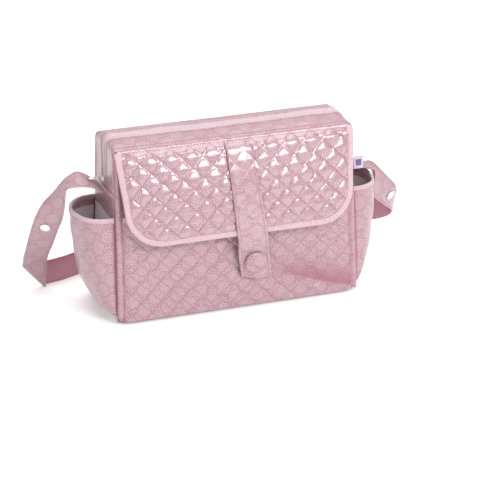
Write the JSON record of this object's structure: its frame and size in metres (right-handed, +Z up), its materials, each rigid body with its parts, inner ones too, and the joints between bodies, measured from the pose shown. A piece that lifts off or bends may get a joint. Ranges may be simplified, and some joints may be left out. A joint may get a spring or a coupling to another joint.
{
  "type": "diaper bag",
  "caption": "Soft quilted changing bag with a buttoned front flap, zipped top, bottle pockets at both sides and a shoulder strap.",
  "frame": {"origin": "centre of the base's underside, on the floor", "axes": "+Z up, -Y towards the flap at the front, +X to the right seen from the front"},
  "size_m": [0.6158, 0.2943, 0.2782],
  "materials": {
    "quilted_print": "quilted, laminated, glossy",
    "plain_print": "laminated print, satin",
    "strap_band": "printed band, satin",
    "bias_binding": "plain woven binding, matte",
    "lining_cloth": "plain woven, matte",
    "zip_tape": "twill tape, matte",
    "zip_coil": "moulded coil, satin",
    "zip_metal": "plated",
    "snap_plastic": "white, glossy",
    "magnet_steel": "plated",
    "stiffener": "board, matte",
    "label_cloth": "woven label, matte"
  },
  "bodies": {
    "root": {"front_panel": "quilted_print", "back_panel": "plain_print", "base_panel": "plain_print", "base_board": "stiffener", "side_panel_left": "plain_print", "side_panel_right": "plain_print", "side_gusset_front_left": "plain_print", "side_gusset_front_right": "plain_print", "side_gusset_back_left": "plain_print", "side_gusset_back_right": "plain_print", "side_zip_left": "zip_tape", "side_zip_right": "zip_tape", "lining": "lining_cloth", "inner_pocket": "lining_cloth", "inner_pocket_elastic": "bias_binding", "front_pocket": "quilted_print", "front_pocket_binding": "bias_binding", "bottle_pocket_left": "plain_print", "bottle_pocket_right": "plain_print", "bottle_pocket_binding_left": "bias_binding", "bottle_pocket_binding_right": "bias_binding", "magnet_socket": "magnet_steel", "strap_end_left": "strap_band", "strap_end_right": "strap_band", "side_label": "label_cloth"},
    "lid_front": {"top_panel_front": "plain_print", "zip_tape_front": "zip_tape", "zip_coil_front": "zip_coil"},
    "lid_back": {"top_panel_back": "plain_print", "zip_tape_back": "zip_tape", "zip_coil_back": "zip_coil"},
    "zip_slider": {"zip_slider": "zip_metal"},
    "zip_pull": {"zip_pull": "zip_metal"},
    "flap": {"flap_shell": "quilted_print", "flap_lining": "lining_cloth", "flap_binding": "bias_binding", "flap_tab": "plain_print", "button": "plain_print", "magnet": "magnet_steel"},
    "strap": {"shoulder_strap": "strap_band", "snap_cap_left": "snap_plastic", "snap_cap_right": "snap_plastic", "snap_socket_left": "snap_plastic", "snap_socket_right": "snap_plastic"}
  },
  "joints": [
    {"name": "flap_hinge", "type": "hinge", "parent": "root", "child": "flap", "pos_m": [0, -0.054, 0.2655], "axis": [-1, 0, 0], "range_deg": [0, 155]},
    {"name": "lid_front_hinge", "type": "hinge", "parent": "root", "child": "lid_front", "pos_m": [0, -0.04625, 0.2655], "axis": [1, 0, 0], "range_deg": [0, 70]},
    {"name": "lid_back_hinge", "type": "hinge", "parent": "root", "child": "lid_back", "pos_m": [0, 0.04625, 0.2655], "axis": [-1, 0, 0], "range_deg": [0, 70]},
    {"name": "strap_hinge", "type": "hinge", "parent": "root", "child": "strap", "pos_m": [0, 0, 0.192], "axis": [1, 0, 0], "range_deg": [0, 131]},
    {"name": "zip_slide", "type": "slide", "parent": "root", "child": "zip_slider", "axis": [0.0226, 0, 0.9997], "range_m": [0, 0.038]},
    {"name": "zip_pull_hinge", "type": "hinge", "parent": "zip_slider", "child": "zip_pull", "pos_m": [-0.19428, 0, 0.2125], "axis": [0, 1, 0], "range_deg": [0, 80]}
  ]
}
